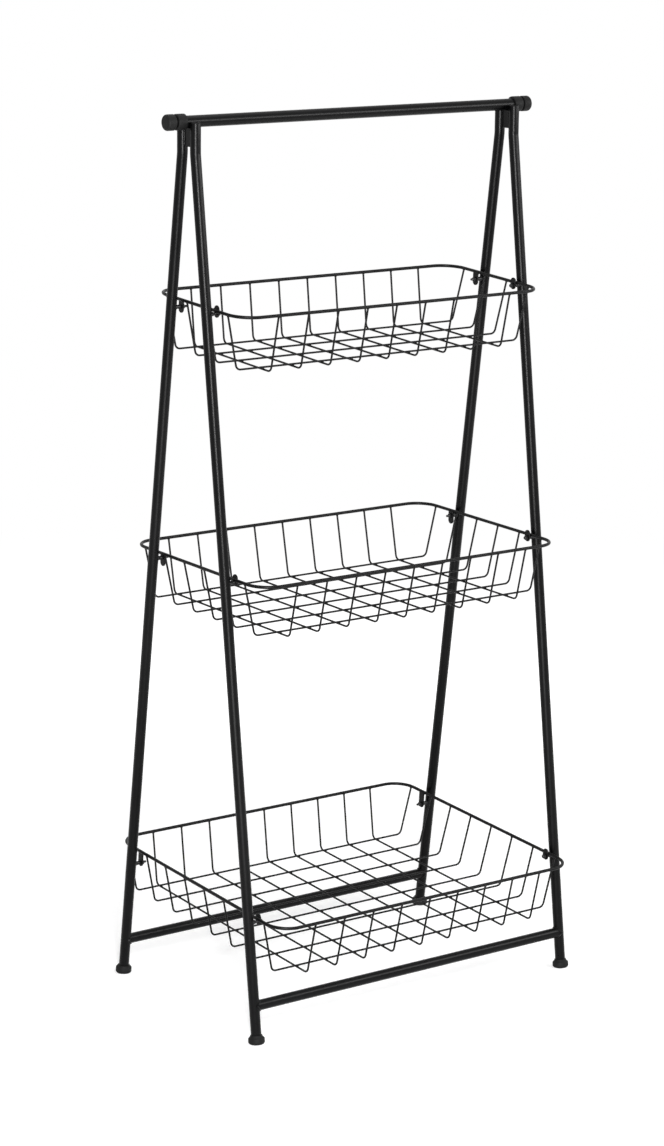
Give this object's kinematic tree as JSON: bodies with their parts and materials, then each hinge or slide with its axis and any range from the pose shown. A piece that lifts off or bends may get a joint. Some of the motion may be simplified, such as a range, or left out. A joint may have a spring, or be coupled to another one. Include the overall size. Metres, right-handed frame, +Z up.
{
  "type": "wire basket shelf",
  "caption": "Free-standing A-frame shelf of round black tube with three open wire baskets that grow deeper towards the floor.",
  "frame": {"origin": "on the floor, under the middle of the shelf", "axes": "+Z up, X along the shelf's width, front faces -Y"},
  "size_m": [0.536, 0.3594, 1.0895],
  "materials": {
    "frame_paint": "semi-gloss black powder coat",
    "basket_paint": "satin black powder coat",
    "hardware": "black oxide",
    "rubber": "matte black"
  },
  "bodies": {
    "root": {"leg_front_left": "frame_paint", "leg_front_right": "frame_paint", "leg_rear_left": "frame_paint", "leg_rear_right": "frame_paint", "top_bar": "frame_paint", "cross_bar_front": "frame_paint", "cross_bar_rear": "frame_paint", "gusset_left": "frame_paint", "gusset_right": "frame_paint", "bar_collar_left": "rubber", "bar_collar_right": "rubber", "bar_end_cap_left": "rubber", "bar_end_cap_right": "rubber", "foot_front_left": "rubber", "foot_front_right": "rubber", "foot_rear_left": "rubber", "foot_rear_right": "rubber", "basket_top": "basket_paint", "basket_middle": "basket_paint", "basket_bottom": "basket_paint", "basket_stud_top_front_left": "hardware", "basket_stud_top_front_right": "hardware", "basket_stud_top_rear_left": "hardware", "basket_stud_top_rear_right": "hardware", "basket_stud_middle_front_left": "hardware", "basket_stud_middle_front_right": "hardware", "basket_stud_middle_rear_left": "hardware", "basket_stud_middle_rear_right": "hardware", "basket_stud_bottom_front_left": "hardware", "basket_stud_bottom_front_right": "hardware", "basket_stud_bottom_rear_left": "hardware", "basket_stud_bottom_rear_right": "hardware", "basket_nut_top_front_left": "hardware", "basket_nut_top_front_right": "hardware", "basket_nut_top_rear_left": "hardware", "basket_nut_top_rear_right": "hardware", "basket_nut_middle_front_left": "hardware", "basket_nut_middle_front_right": "hardware", "basket_nut_middle_rear_left": "hardware", "basket_nut_middle_rear_right": "hardware", "basket_nut_bottom_front_left": "hardware", "basket_nut_bottom_front_right": "hardware", "basket_nut_bottom_rear_left": "hardware", "basket_nut_bottom_rear_right": "hardware"}
  },
  "joints": []
}
